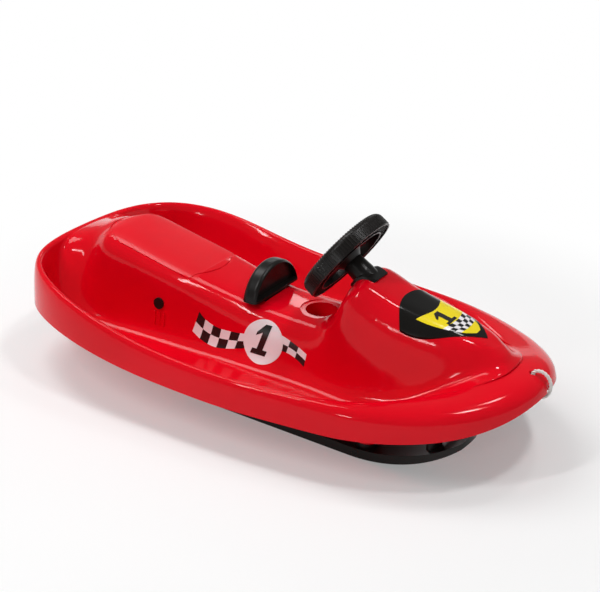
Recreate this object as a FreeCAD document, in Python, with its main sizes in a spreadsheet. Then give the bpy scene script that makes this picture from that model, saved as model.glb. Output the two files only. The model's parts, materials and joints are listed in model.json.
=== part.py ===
import FreeCAD, Part
import math
import os
from FreeCAD import Placement, Rotation, Vector

os.makedirs("parts", exist_ok=True)
doc = FreeCAD.newDocument("steering_sled")

# Driving dimensions, millimetres and degrees.
# The sled lies along X with its nose at +X, stands on Z = 0 and is mirrored about Y = 0.
SIZES = [
    # tub
    ("half_length", 480), ("half_width", 268), ("rim_height", 131), ("wall", 4),
    ("skirt", 45), ("lip_flare", 12.5), ("rim_roll", 5.5), ("deck_width", 44), ("deck_rise", 7),
    # runners under the tub, behind the skis
    ("runner_front", -112), ("runner_rear", -452), ("runner_width", 28), ("runner_front_reach", 138),
    ("runner_rear_reach", 114), ("runner_nose_radius", 26), ("runner_tail_radius", 48),
    ("runner_top", 110),
    # cup recess
    ("cup_place", 71), ("cup_bore", 56), ("cup_floor", 134), ("cup_top", 175),
    ("cup_dish_width", 9), ("cup_dish_depth", 2),
    # seat pad
    ("pad_rear", -384), ("pad_shoulder", -322), ("pad_front", -156), ("pad_width", 146),
    ("pad_front_bulge", 20), ("pad_corner", 16), ("pad_groove_width", 4), ("pad_groove_depth", 1.2),
    # windshield panel
    ("shield_rear", 228), ("shield_corner", 250), ("shield_tip", 372), ("shield_width", 122),
    ("shield_thick", 1.6),
    # steering column
    ("wheel_place", 113), ("wheel_height", 270), ("column_tilt", 55), ("column_diameter", 12),
    ("column_length", 222), ("bend_radius", 34), ("ball_place", 355), ("crank", 42),
    ("ball_diameter", 20), ("run_clearance", 0.08), ("gap", 0.5),
    # steering wheel
    ("wheel_diameter", 170), ("rim_width", 22), ("rim_depth", 28), ("rim_wall", 3),
    ("rim_rib_thick", 2.4), ("rim_rib_sink", 1.5), ("spoke_width", 30),
    ("spoke_thick", 9), ("hub_diameter", 56), ("hub_rise", 10), ("hub_sink", 16),
    ("cap_diameter", 38), ("cap_thick", 4),
    # column sleeve, collar and lower bracket
    ("sleeve_seat", 24), ("sleeve_top_width", 36), ("sleeve_width", 40),
    ("collar_width", 58), ("collar_thick", 5), ("bracket_place", 192), ("bracket_thick", 12),
    ("bracket_height", 32), ("clip_diameter", 22), ("clip_thick", 3),
    # skis
    ("ski_gauge", 254), ("ski_width", 50), ("ski_rear", -74), ("ski_rise", 218), ("ski_tip", 418),
    ("ski_tip_height", 92), ("ski_thick", 17), ("ski_tip_thick", 10),
    ("ski_end_round", 5), ("ski_tip_round", 9),
    ("kingpin_place", 240), ("kingpin_diameter", 12), ("boss_diameter", 40), ("boss_foot", 27),
    ("pin_head_diameter", 24), ("pin_head_thick", 6), ("washer_diameter", 26), ("washer_thick", 2),
    ("nut_diameter", 20), ("nut_thick", 5), ("recess_diameter", 30), ("recess_floor", 14),
    # tie rod
    ("tie_pin_diameter", 10), ("tie_bottom", 64), ("tie_thick", 8), ("tie_width", 18),
    ("tie_eye", 24), ("fork_thick", 5), ("fork_length", 14), ("fork_back", 3), ("fork_over", 2),
    ("tie_clip_thick", 3), ("tie_clip_diameter", 17),
    # brake
    ("axle_place", -217), ("axle_height", 128), ("axle_diameter", 10), ("plug_diameter", 21),
    ("plug_proud", 3.5), ("lever_hub", 26), ("lever_hub_width", 110), ("arm_width", 12),
    ("arm_gauge", 60), ("arm_height", 20), ("arm_droop", 15), ("lever_radius", 187),
    ("handle_width", 138), ("handle_rise", 56), ("handle_thick", 32), ("handle_wall", 4),
    ("handle_recess", 12), ("handle_round", 10), ("stem_width", 64), ("stem_thick", 16), ("slot_room", 5),
    ("claw_reach", 100), ("claw_bar_height", 70), ("claw_bar_thick", 16), ("claw_bar_rise", 36),
    ("claw_tip", 14), ("claw_thick", 3), ("claw_width", 76), ("claw_tooth", 15),
    ("screw_diameter", 5), ("screw_head", 9), ("screw_head_thick", 3), ("screw_length", 12),
    # tow loop
    ("rope_diameter", 6), ("rope_setback", 30), ("rope_hole_diameter", 11),
    ("notch_radius", 9), ("knot_diameter", 18),
    # cutting tools reach past what they cut
    ("overrun", 60),
]

sheet = doc.addObject("Spreadsheet::Sheet", "sizes")
sheet.Label = "sizes"
for row, (alias, value) in enumerate(SIZES, 1):
    sheet.set("A%d" % row, alias)
    sheet.set("B%d" % row, str(value))
    sheet.setAlias("B%d" % row, alias)
doc.recompute()


class Named:
    """The sheet's values by name."""


d = Named()
for alias, value in SIZES:
    setattr(d, alias, float(getattr(sheet, alias)))


def derive(alias, value):
    """A size that follows from the others, kept in the sheet under its own name."""
    row = len(vars(d)) + 1
    sheet.set("A%d" % row, alias)
    sheet.set("B%d" % row, repr(value))
    sheet.setAlias("B%d" % row, alias)
    setattr(d, alias, value)
    doc.recompute()


def mix(a, b, share):
    return a + (b - a) * share


# Tub skin. Each column runs from the lip over the rim, down the footwell wall, across the floor
# and up the centre mound to the spine; columns fan from the tail round one side to the nose.
# crest x, y, z | mound foot x, y, z | mound top x, y, z | skirt | bowl | deck, as shares of
# half length, half width and rim height, of the skirt's height, the bowl's depth and the deck's width.
COLUMN_SHARES = [
    (-0.973, 0.000, 1.53, -0.833, 0.000, 1.69, -0.750, 0.000, 1.73, 1.80, 0.0, 0.0),
    (-0.973, 0.210, 1.53, -0.833, 0.170, 1.69, -0.750, 0.140, 1.73, 1.80, 0.0, 0.0),
    (-0.964, 0.420, 1.51, -0.829, 0.320, 1.30, -0.730, 0.270, 1.74, 1.80, 0.5, 0.0),
    (-0.928, 0.605, 1.49, -0.775, 0.395, 0.65, -0.698, 0.300, 1.73, 1.75, 0.9, 0.0),
    (-0.838, 0.775, 1.47, -0.698, 0.388, 0.49, -0.650, 0.313, 1.70, 1.62, 1.0, 0.0),
    (-0.696, 0.894, 1.40, -0.594, 0.370, 0.47, -0.567, 0.313, 1.63, 1.45, 1.0, 0.0),
    (-0.546, 0.945, 1.28, -0.483, 0.362, 0.47, -0.475, 0.306, 1.56, 1.32, 1.0, 0.0),
    (-0.396, 0.955, 1.15, -0.365, 0.358, 0.47, -0.365, 0.300, 1.48, 1.18, 1.0, 0.0),
    (-0.250, 0.951, 1.06, -0.240, 0.354, 0.47, -0.240, 0.272, 1.38, 1.08, 1.0, 0.0),
    (-0.104, 0.944, 1.01, -0.104, 0.350, 0.47, -0.104, 0.240, 1.27, 1.00, 1.0, 0.0),
    (0.031, 0.935, 0.99, 0.031, 0.347, 0.47, 0.031, 0.226, 1.23, 1.00, 1.0, 0.0),
    (0.146, 0.922, 0.99, 0.142, 0.343, 0.47, 0.135, 0.224, 1.22, 1.00, 1.0, 0.0),
    (0.240, 0.902, 0.99, 0.225, 0.347, 0.47, 0.208, 0.231, 1.22, 1.00, 1.0, 0.05),
    (0.323, 0.882, 0.99, 0.296, 0.354, 0.48, 0.260, 0.231, 1.41, 1.00, 1.0, 0.10),
    (0.406, 0.862, 0.99, 0.367, 0.362, 0.50, 0.308, 0.224, 1.95, 1.00, 1.0, 0.20),
    (0.500, 0.836, 0.99, 0.450, 0.366, 0.53, 0.371, 0.216, 1.89, 1.00, 1.0, 0.40),
    (0.615, 0.772, 1.00, 0.546, 0.350, 0.61, 0.479, 0.200, 1.72, 0.98, 1.0, 0.70),
    (0.731, 0.668, 1.02, 0.640, 0.300, 0.76, 0.604, 0.175, 1.63, 0.94, 0.95, 1.00),
    (0.832, 0.540, 1.05, 0.722, 0.246, 0.98, 0.704, 0.142, 1.55, 0.84, 0.55, 1.05),
    (0.908, 0.390, 1.09, 0.790, 0.184, 1.17, 0.770, 0.104, 1.48, 0.68, 0.10, 1.00),
    (0.956, 0.235, 1.14, 0.836, 0.117, 1.28, 0.800, 0.067, 1.42, 0.52, 0.0, 0.92),
    (0.973, 0.105, 1.16, 0.854, 0.055, 1.31, 0.812, 0.032, 1.40, 0.42, 0.0, 0.88),
    (0.973, 0.000, 1.16, 0.854, 0.000, 1.31, 0.812, 0.000, 1.40, 0.42, 0.0, 0.88),
]
# Shares that place each row of a column: the lip's out and down, the rolled edge's out and up,
# the floor's reach with its drop in a full bowl and on the flat, and the mound side's reach, rise and width.
LIP_SHARES = ((1.0, 1.0), (0.6, 0.55))
ROLL_SHARES = ((1.0, -0.9, 0.0), (-0.5, 0.7, 0.25), (-2.4, -0.3, 1.0))
FLOOR_SHARES = ((0.187, 0.45, 0.10), (0.306, 0.90, 0.22), (0.571, 1.0, 0.45), (0.901, 1.0, 0.80))
SIDE_SHARES = ((0.12, 0.16, 1.0), (0.45, 0.52, 1.0), (0.80, 0.86, 1.0), (0.92, 1.0, 0.72))
SPINE_SHARE = 0.3
END_SHARE = 0.25


def column_points(entry, outward, end):
    crest_x, crest_y, crest_z, foot_x, foot_y, foot_z, top_x, top_y, top_z, skirt, bowl, deck = entry
    crest = Vector(crest_x * d.half_length, crest_y * d.half_width, crest_z * d.rim_height)
    foot = Vector(foot_x * d.half_length, foot_y * d.half_width, foot_z * d.rim_height)
    top = Vector(top_x * d.half_length, top_y * d.half_width, top_z * d.rim_height)
    inner = crest - outward * (deck * d.deck_width) + Vector(0, 0, deck * d.deck_rise)
    points = []
    for out, down in LIP_SHARES:
        points.append(crest + outward * mix(d.rim_roll, d.lip_flare, out) - Vector(0, 0, down * skirt * d.skirt))
    for out, rise, inward in ROLL_SHARES:
        points.append(mix(crest, inner, inward) + outward * (out * d.rim_roll) + Vector(0, 0, rise * d.rim_roll))
    for reach, full, flat in FLOOR_SHARES:
        point = mix(inner, foot, reach)
        point.z = mix(inner.z, foot.z, mix(flat, full, bowl))
        points.append(point)
    for reach, rise, width in SIDE_SHARES:
        point = mix(foot, top, reach)
        point.y *= width
        point.z = mix(foot.z, top.z, rise)
        points.append(point)
    points.append(Vector(top.x, top.y * SPINE_SHARE, top.z))
    points.append(Vector(mix(top.x, foot.x, END_SHARE) if end else top.x, 0, top.z))
    return points


def tub_net():
    plan = [(entry[0] * d.half_length, entry[1] * d.half_width) for entry in COLUMN_SHARES]
    last = len(plan) - 1
    net = []
    for i, entry in enumerate(COLUMN_SHARES):
        before = plan[max(i - 1, 0)]
        after = plan[min(i + 1, last)]
        along = Vector(after[0] - before[0], after[1] - before[1], 0)
        outward = Vector(-along.y, along.x, 0)
        if i <= 1:
            outward = Vector(-1, 0, 0)
        if i >= last - 1:
            outward = Vector(1, 0, 0)
        net.append(column_points(entry, outward.normalize(), i in (0, last)))
    return net


def moved_net(net, distance):
    """The net moved along its own normals, up and outward for a positive distance."""
    columns = len(net)
    rows = len(net[0])
    result = []
    for i in range(columns):
        line = []
        for j in range(rows):
            u = min(max(i, 1), columns - 2)
            v = min(j, rows - 3)
            across = net[u][v + 1] - net[u][max(v - 1, 0)]
            along = net[u + 1][v] - net[u - 1][v]
            normal = along.cross(across) * -1
            if i in (0, 1, columns - 2, columns - 1):
                ring = net[0] if i < 2 else net[columns - 1]
                slope = ring[v + 1] - ring[max(v - 1, 0)]
                turn = 1 if i < 2 else -1
                normal = Vector(-slope.z, 0, slope.x) * turn
            if j >= rows - 2:
                left = net[max(i - 1, 0)][rows - 1]
                right = net[min(i + 1, columns - 1)][rows - 1]
                normal = Vector(-(right.z - left.z), 0, right.x - left.x)
            normal.normalize()
            line.append(net[i][j] + normal * distance)
        result.append(line)
    return result


def skin(net):
    def knots(count):
        inner = count - 3
        return list(range(inner + 1)), [4] + [1] * (inner - 1) + [4]

    along_knots, along_mults = knots(len(net))
    across_knots, across_mults = knots(len(net[0]))
    surface = Part.BSplineSurface()
    surface.buildFromPolesMultsKnots(
        net, along_mults, across_mults, along_knots, across_knots, False, False, 3, 3)
    return surface


def mirrored(net):
    return [[Vector(p.x, -p.y, p.z) for p in line] for line in net]


def shell_solid(net, above, below):
    """A closed shell that follows the tub skin, from below it to above it."""
    faces = []
    for half in (net, mirrored(net)):
        sign = 1 if half is net else -1
        upper = skin(moved_net_side(half, above, sign))
        lower = skin(moved_net_side(half, -below, sign))
        faces += [upper.toShape(), lower.toShape()]
        last = upper.getVKnots()[0]
        faces.append(Part.makeRuledSurface(
            upper.vIso(last).toShape(), lower.vIso(last).toShape()))
    shell = Part.makeShell(faces)
    shell.sewShape()
    solid = Part.makeSolid(shell.Shells[0])
    if solid.Volume < 0:
        solid.reverse()
    return solid


def moved_net_side(half, distance, sign):
    if sign > 0:
        return moved_net(half, distance)
    return mirrored(moved_net(mirrored(half), distance))


net = tub_net()
shell = shell_solid(net, 0, d.wall)

up = Vector(0, 0, 1)
left = Vector(0, 1, 0)
tilt = Rotation(left, -d.column_tilt)
column_up = tilt.multVec(up)
column_front = tilt.multVec(Vector(1, 0, 0))
wheel_centre = Vector(d.wheel_place, 0, d.wheel_height)
axle_centre = Vector(d.axle_place, 0, d.axle_height)


def on_column(depth):
    return wheel_centre - column_up * depth


crank_depth = (d.wheel_place + column_front.x * d.crank - d.ball_place) / column_up.x
ball_centre = on_column(crank_depth) + column_front * d.crank
rope_hole_place = d.half_length - d.rope_setback


def rod(diameter, start, end):
    return Part.makeCylinder(diameter / 2, (end - start).Length, start, end - start)


def upright(diameter, x, y, low, high):
    return rod(diameter, Vector(x, y, low), Vector(x, y, high))


def under(shape):
    """The lowest piece of a shape that the tub skin divides."""
    return min(shape.cut(shell).Solids, key=lambda piece: piece.CenterOfMass.z)


def skin_height(x, y):
    line = Part.makeLine(Vector(x, y, 0), Vector(x, y, d.wheel_height + d.overrun))
    return max(v.Z for v in line.common(shell).Vertexes)


def skin_floor(x, y):
    line = Part.makeLine(Vector(x, y, 0), Vector(x, y, d.wheel_height + d.overrun))
    return min(v.Z for v in line.common(shell).Vertexes)


def skin_side(x, z):
    line = Part.makeLine(Vector(x, 0, z), Vector(x, d.half_width / 2, z))
    return max(v.Y for v in line.common(shell).Vertexes)


def prism(wire, low, high):
    face = Part.Face(wire)
    face.translate(Vector(0, 0, low))
    return face.extrude(Vector(0, 0, high - low))


def arc(start, middle, end):
    return Part.Arc(start, middle, end).toShape()


def path_tube(points, diameter, radii):
    """A round rod along straight runs joined by tangent arcs."""
    pieces = []
    length = 0
    start = points[0]
    for before, corner, after, radius in zip(points, points[1:], points[2:], radii):
        back = (before - corner).normalize()
        on = (after - corner).normalize()
        half = back.getAngle(on) / 2
        reach = radius / math.tan(half)
        first = corner + back * reach
        second = corner + on * reach
        centre = corner + (back + on).normalize() * (radius / math.sin(half))
        bend = math.pi - 2 * half
        disc = Part.Face(Part.Wire(Part.makeCircle(diameter / 2, first, back)))
        pieces += [rod(diameter, start, first), disc.revolve(centre, on.cross(back), math.degrees(bend))]
        length += (first - start).Length + radius * bend
        start = second
    pieces.append(rod(diameter, start, points[-1]))
    length += (points[-1] - start).Length
    return pieces[0].multiFuse(pieces[1:]).removeSplitter(), length


nodes = {}


def keep(label, item):
    item.Label = label
    nodes[label] = item
    return item


def feature(label, shape):
    item = doc.addObject("Part::Feature", label)
    item.Shape = shape
    return keep(label, item)


def bind(item, **formulas):
    for name, formula in formulas.items():
        item.setExpression(name, formula)
    return item


def cylinder(name, diameter, length, base, direction):
    item = doc.addObject("Part::Cylinder", name)
    bind(item, Radius=diameter + " / 2", Height=length)
    item.Placement = Placement(base, Rotation(up, direction))
    return item


def joined(name, *items):
    item = doc.addObject("Part::MultiFuse", name)
    item.Shapes = list(items)
    return item


def less(name, base, tool):
    item = doc.addObject("Part::Cut", name)
    item.Base = base
    item.Tool = tool
    return item


def plane(body, role):
    return [f for f in body.Origin.OriginFeatures if f.Role == role][0]


def sketch(body, name, role, edges):
    item = body.newObject("Sketcher::SketchObject", name)
    item.AttachmentSupport = (plane(body, role), "")
    item.MapMode = "FlatFace"
    for edge in edges:
        item.addGeometry(edge, False)
    return item


def loop(points):
    ends = points[1:] + points[:1]
    return [Part.LineSegment(a, b) for a, b in zip(points, ends)]


# Tub: the skin with its kingpin bosses, runners and cup, then its holes.
sides = (1, -1)
ski_y = d.ski_gauge / 2
tub = shell
for side in sides:
    boss = upright(d.boss_diameter, d.kingpin_place, side * ski_y, d.boss_foot, d.cup_top)
    tub = tub.fuse(under(boss))


def bow(start, corner, end):
    """A quarter of a circle from start to end, about the point across from the corner."""
    centre = start + end - corner
    return arc(start, centre + (corner - centre) * math.sqrt(0.5), end)


runner_toe = [Vector(d.runner_front - d.runner_nose_radius, 0, 0), Vector(d.runner_front, 0, 0),
              Vector(d.runner_front, 0, d.runner_nose_radius)]
runner_heel = [Vector(d.runner_rear, 0, d.runner_tail_radius), Vector(d.runner_rear, 0, 0),
               Vector(d.runner_rear + d.runner_tail_radius, 0, 0)]
runner_top = [Vector(d.runner_front, 0, d.runner_top), Vector(d.runner_rear, 0, d.runner_top)]
runner_side = Part.Face(Part.Wire([
    bow(*runner_toe), Part.makeLine(runner_toe[2], runner_top[0]), Part.makeLine(*runner_top),
    Part.makeLine(runner_top[1], runner_heel[0]), bow(*runner_heel),
    Part.makeLine(runner_heel[2], runner_toe[0])]))
runner_plan = Part.makePolygon([
    Vector(d.runner_front, d.runner_front_reach, 0), Vector(d.runner_rear, d.runner_rear_reach, 0),
    Vector(d.runner_rear, d.runner_rear_reach - d.runner_width, 0),
    Vector(d.runner_front, d.runner_front_reach - d.runner_width, 0),
    Vector(d.runner_front, d.runner_front_reach, 0)])
rail = runner_side.extrude(left * d.half_width).common(prism(runner_plan, 0, d.runner_top))
rail = under(rail)
tub = tub.fuse(rail)
tub = tub.fuse(rail.mirror(Vector(0, 0, 0), left))

cup = upright(d.cup_bore + 2 * d.wall, d.cup_place, 0, d.cup_floor - d.wall, d.cup_top)
tub = tub.fuse(under(cup))
tub = tub.cut(upright(d.cup_bore, d.cup_place, 0, d.cup_floor, d.cup_top + d.overrun))
dish_bore = d.cup_bore + 2 * d.cup_dish_width
dish_floor = min(skin_height(d.cup_place + side * dish_bore / 2, 0) for side in sides) - d.cup_dish_depth
tub = tub.cut(upright(dish_bore, d.cup_place, 0, dish_floor, d.cup_top + d.overrun))

# The sleeve stands in the hood as deep as its seat, measured down the column to the skin.
hood_line = Part.makeLine(wheel_centre, on_column(d.column_length))
hood_depth = min((v.Point - wheel_centre).Length for v in hood_line.common(shell).Vertexes)
sleeve_end = hood_depth + d.sleeve_seat
derive("sleeve_length", sleeve_end - d.hub_sink - d.gap)
print("hood depth", round(hood_depth, 1))
sleeve_hole = d.sleeve_width + 2 * d.run_clearance
tub = tub.cut(rod(sleeve_hole, on_column(d.hub_sink), on_column(sleeve_end)))
tub = tub.cut(rod(d.axle_diameter + 2 * d.run_clearance, axle_centre - left * d.half_width / 2,
                  axle_centre + left * d.half_width / 2))

# The brake stem rises on an arc about the axle, through a slot as wide as the arc needs.
stem_inner = d.lever_radius - d.stem_thick / 2 - d.slot_room
stem_outer = d.lever_radius + d.stem_thick / 2 + d.slot_room
slot_half = d.stem_width / 2 + d.slot_room
slot = rod(2 * stem_outer, axle_centre - left * slot_half, axle_centre + left * slot_half)
slot = slot.cut(rod(2 * stem_inner, axle_centre - left * slot_half, axle_centre + left * slot_half))
slot_window = Part.makeBox(2 * stem_outer, 2 * slot_half, d.overrun)
slot_window.translate(Vector(d.axle_place, -slot_half, d.cup_floor))
tub = tub.cut(slot.common(slot_window))

tub = tub.cut(upright(d.rope_hole_diameter, rope_hole_place, 0, d.tie_bottom, d.cup_top))
tub = tub.cut(upright(2 * d.notch_radius, d.half_length + d.notch_radius / 2, 0, 0, d.cup_top))

head_seat = min(skin_height(d.kingpin_place + x, ski_y + y)
                for x in (-d.pin_head_diameter / 2, d.pin_head_diameter / 2)
                for y in (-d.pin_head_diameter / 2, d.pin_head_diameter / 2)) - d.gap
for side in sides:
    tub = tub.cut(upright(d.kingpin_diameter + 2 * d.run_clearance, d.kingpin_place, side * ski_y,
                          0, d.cup_top))
    tub = tub.cut(upright(d.pin_head_diameter + 2 * d.gap, d.kingpin_place, side * ski_y,
                          head_seat, d.cup_top))

# Seat pad: a shallow moulded groove round the pad, round behind and bowed in front.
pad_half = d.pad_width / 2
pad_knee = d.pad_front - d.pad_corner
pad_turn = pad_half - d.pad_corner
pad_edges = []
for side in sides:
    shoulder = Vector(d.pad_shoulder, side * pad_half, 0)
    knee = Vector(pad_knee, side * pad_half, 0)
    toe = Vector(d.pad_front, side * pad_turn, 0)
    pad_edges.append(Part.makeLine(shoulder, knee))
    pad_edges.append(bow(knee, Vector(d.pad_front, side * pad_half, 0), toe))
pad_edges.append(arc(Vector(d.pad_front, pad_turn, 0), Vector(d.pad_front + d.pad_front_bulge, 0, 0),
                     Vector(d.pad_front, -pad_turn, 0)))
pad_edges.append(arc(Vector(d.pad_shoulder, pad_half, 0), Vector(d.pad_rear, 0, 0),
                     Vector(d.pad_shoulder, -pad_half, 0)))
pad_edges = Part.__sortEdges__(pad_edges)
pad_wire = Part.Wire(pad_edges)
pad_inner = pad_wire.makeOffset2D(-d.pad_groove_width)
pad_ring = prism(pad_wire, d.rim_height, d.wheel_height)
pad_ring = pad_ring.cut(prism(pad_inner, d.rim_height, d.wheel_height))
tub = tub.cut(shell_solid(net, d.gap, d.pad_groove_depth).common(pad_ring))
feature("tub", tub)

# Windshield panel, laid on the hood.
shield_half = d.shield_width / 2
SHIELD_SIDE_SHARES = (0.62, 0.66)
side_x = mix(d.shield_corner, d.shield_tip, SHIELD_SIDE_SHARES[0])
side_y = shield_half * SHIELD_SIDE_SHARES[1]
tip = Vector(d.shield_tip, 0, 0)
shield_corners = [Vector(d.shield_corner, side * shield_half, 0) for side in sides]
shield_wire = Part.Wire([
    arc(shield_corners[0], Vector(d.shield_rear, 0, 0), shield_corners[1]),
    arc(shield_corners[1], Vector(side_x, -side_y, 0), tip),
    arc(tip, Vector(side_x, side_y, 0), shield_corners[0])])
shield = prism(shield_wire, d.rim_height, d.wheel_height)
feature("windshield_panel", shell_solid(net, d.shield_thick, 0).common(shield))

# Collar that seats the column sleeve on the hood.
collar_slab = shell_solid(net, d.collar_thick, 0)
collar = rod(d.collar_width, on_column(d.hub_sink), on_column(sleeve_end))
collar = collar.cut(rod(sleeve_hole, on_column(d.hub_sink), on_column(sleeve_end)))
feature("column_collar", max(collar_slab.common(collar).Solids, key=lambda s: s.Volume))

# Column sleeve: a tapered tube in which the column turns.
sleeve_foot = on_column(sleeve_end)
bore = d.column_diameter + 2 * d.run_clearance
sleeve = doc.addObject("PartDesign::Body", "sleeve_body")
straight = d.sleeve_length / 2
sleeve_profile = [Vector(bore / 2, 0, 0), Vector(d.sleeve_width / 2, 0, 0),
                  Vector(d.sleeve_width / 2, straight, 0),
                  Vector(d.sleeve_top_width / 2, d.sleeve_length, 0),
                  Vector(bore / 2, d.sleeve_length, 0)]
turned = sleeve.newObject("PartDesign::Revolution", "sleeve_turned")
turned.Profile = sketch(sleeve, "sleeve_profile", "XZ_Plane", loop(sleeve_profile))
turned.ReferenceAxis = (turned.Profile[0], ["V_Axis"])
turned.Angle = 360
sleeve.Placement = Placement(sleeve_foot, tilt)
keep("column_sleeve", sleeve)

# Steering wheel: a rim open underneath with a comb of ribs in it, three flat spokes and a hub.
wheel = doc.addObject("PartDesign::Body", "wheel_body")
rim_out = d.wheel_diameter / 2
rim_in = rim_out - d.rim_width
rim_mid = (rim_out + rim_in) / 2
rim_low = -d.rim_depth / 2
rim_high = d.rim_depth / 2
rim_spring = rim_high - d.rim_width / 2
rim_section = [
    Part.LineSegment(Vector(rim_in, rim_low, 0), Vector(rim_in + d.rim_wall, rim_low, 0)),
    Part.LineSegment(Vector(rim_in + d.rim_wall, rim_low, 0), Vector(rim_in + d.rim_wall, rim_spring, 0)),
    Part.Arc(Vector(rim_in + d.rim_wall, rim_spring, 0), Vector(rim_mid, rim_high - d.rim_wall, 0),
             Vector(rim_out - d.rim_wall, rim_spring, 0)),
    Part.LineSegment(Vector(rim_out - d.rim_wall, rim_spring, 0), Vector(rim_out - d.rim_wall, rim_low, 0)),
    Part.LineSegment(Vector(rim_out - d.rim_wall, rim_low, 0), Vector(rim_out, rim_low, 0)),
    Part.LineSegment(Vector(rim_out, rim_low, 0), Vector(rim_out, rim_spring, 0)),
    Part.Arc(Vector(rim_out, rim_spring, 0), Vector(rim_mid, rim_high, 0), Vector(rim_in, rim_spring, 0)),
    Part.LineSegment(Vector(rim_in, rim_spring, 0), Vector(rim_in, rim_low, 0))]
rim = wheel.newObject("PartDesign::Revolution", "wheel_rim")
rim.Profile = sketch(wheel, "rim_section", "XZ_Plane", rim_section)
rim.ReferenceAxis = (rim.Profile[0], ["V_Axis"])
rim.Angle = 360
RIB_COUNT = 40
comb = []
rib_in = rim_in + d.rim_wall / 2
rib_out = rim_out - d.rim_wall / 2
for k in range(RIB_COUNT):
    turn = Rotation(up, 360 * k / RIB_COUNT)
    corners = [Vector(rib_in, -d.rim_rib_thick / 2, 0), Vector(rib_out, -d.rim_rib_thick / 2, 0),
               Vector(rib_out, d.rim_rib_thick / 2, 0), Vector(rib_in, d.rim_rib_thick / 2, 0)]
    comb += loop([turn.multVec(corner) for corner in corners])
ribs = wheel.newObject("PartDesign::Pad", "wheel_ribs")
ribs.Profile = sketch(wheel, "rib_comb", "XY_Plane", comb)
ribs.Profile[0].AttachmentOffset = Placement(Vector(0, 0, rim_low + d.rim_rib_sink), Rotation())
ribs.setExpression("Length", "sizes.rim_depth / 2")
SPOKE_ANGLES = (60, 180, 300)
spoke_reach = math.sqrt(rib_in ** 2 - d.spoke_width ** 2 / 4)
star = []
for angle in SPOKE_ANGLES:
    turn = Rotation(up, angle)
    gusset = Rotation(up, angle + 60)
    notch = d.spoke_width / 2 / math.sin(math.radians(60))
    star.append(turn.multVec(Vector(spoke_reach, -d.spoke_width / 2, 0)))
    star.append(turn.multVec(Vector(spoke_reach, d.spoke_width / 2, 0)))
    star.append(gusset.multVec(Vector(notch, 0, 0)))
spokes = wheel.newObject("PartDesign::Pad", "wheel_spokes")
spokes.Profile = sketch(wheel, "spoke_star", "XY_Plane", loop(star))
spokes.setExpression("Length", "sizes.spoke_thick")
spokes.SideType = "Symmetric"
grip = d.column_diameter / 2
socket = -d.spoke_thick / 2
hub_profile = [Vector(grip, -d.hub_sink, 0), Vector(d.sleeve_top_width / 2, -d.hub_sink, 0),
               Vector(d.hub_diameter / 2, socket, 0), Vector(d.hub_diameter / 2, d.hub_rise, 0),
               Vector(0, d.hub_rise, 0), Vector(0, socket, 0), Vector(grip, socket, 0)]
hub = wheel.newObject("PartDesign::Revolution", "wheel_hub")
hub.Profile = sketch(wheel, "hub_profile", "XZ_Plane", loop(hub_profile))
hub.ReferenceAxis = (hub.Profile[0], ["V_Axis"])
hub.Angle = 360
wheel.Placement = Placement(wheel_centre, tilt)
keep("steering_wheel", wheel)
keep("hub_cap", cylinder("hub_cap_disc", "sizes.cap_diameter", "sizes.cap_thick",
                         on_column(-d.hub_rise), column_up))

# Steering column: one bent rod with a ball at its foot.
column_top = on_column(-socket)
elbow = on_column(d.column_length)
stalk, stalk_length = path_tube([column_top, elbow, ball_centre], d.column_diameter, [d.bend_radius])
ball = Part.makeSphere(d.ball_diameter / 2, ball_centre)
feature("steering_column", stalk.fuse(ball))

# Lower bracket across the hood, and the clip that keeps the column from sliding out of it.
bracket_reach = d.half_width
bracket = Part.makeBox(d.bracket_height, bracket_reach, d.bracket_thick)
bracket.translate(Vector(-d.bracket_height / 2, -bracket_reach / 2, 0))
bracket.Placement = Placement(on_column(d.bracket_place), tilt).multiply(bracket.Placement)
bracket = min(bracket.cut(shell).Solids, key=lambda piece: abs(piece.CenterOfMass.y))
bracket = bracket.cut(rod(bore, on_column(d.bracket_place + d.overrun),
                          on_column(d.bracket_place - d.overrun)))
feature("column_bracket", bracket)
clip_base = on_column(d.bracket_place + d.gap + d.clip_thick)
clip_disc = cylinder("clip_disc", "sizes.clip_diameter", "sizes.clip_thick", clip_base, column_up)
clip_hole = cylinder("clip_hole", "sizes.column_diameter", "sizes.clip_thick", clip_base, column_up)
keep("column_clip", less("column_clip_ring", clip_disc, clip_hole))

# Skis: flat behind, swept up to the tip on tangent arcs.
ski_run = d.ski_tip - d.ski_rise


def sweep_radius(rise):
    return (ski_run ** 2 + rise ** 2) / (2 * rise)


def sweep_arc(base, rise):
    radius = sweep_radius(rise)
    half = ski_run / 2
    middle = Vector(d.ski_rise + half, base + radius - math.sqrt(radius ** 2 - half ** 2), 0)
    return Part.Arc(Vector(d.ski_rise, base, 0), middle, Vector(d.ski_tip, base + rise, 0))


# The tie pin's seat starts inside the ski, over the sole under its front edge.
seat_front = d.ball_place + d.tie_eye / 2 - d.ski_rise
sole_radius = sweep_radius(d.ski_tip_height)
derive("pin_foot", sole_radius - math.sqrt(sole_radius ** 2 - seat_front ** 2) + d.tie_clip_thick)


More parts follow.
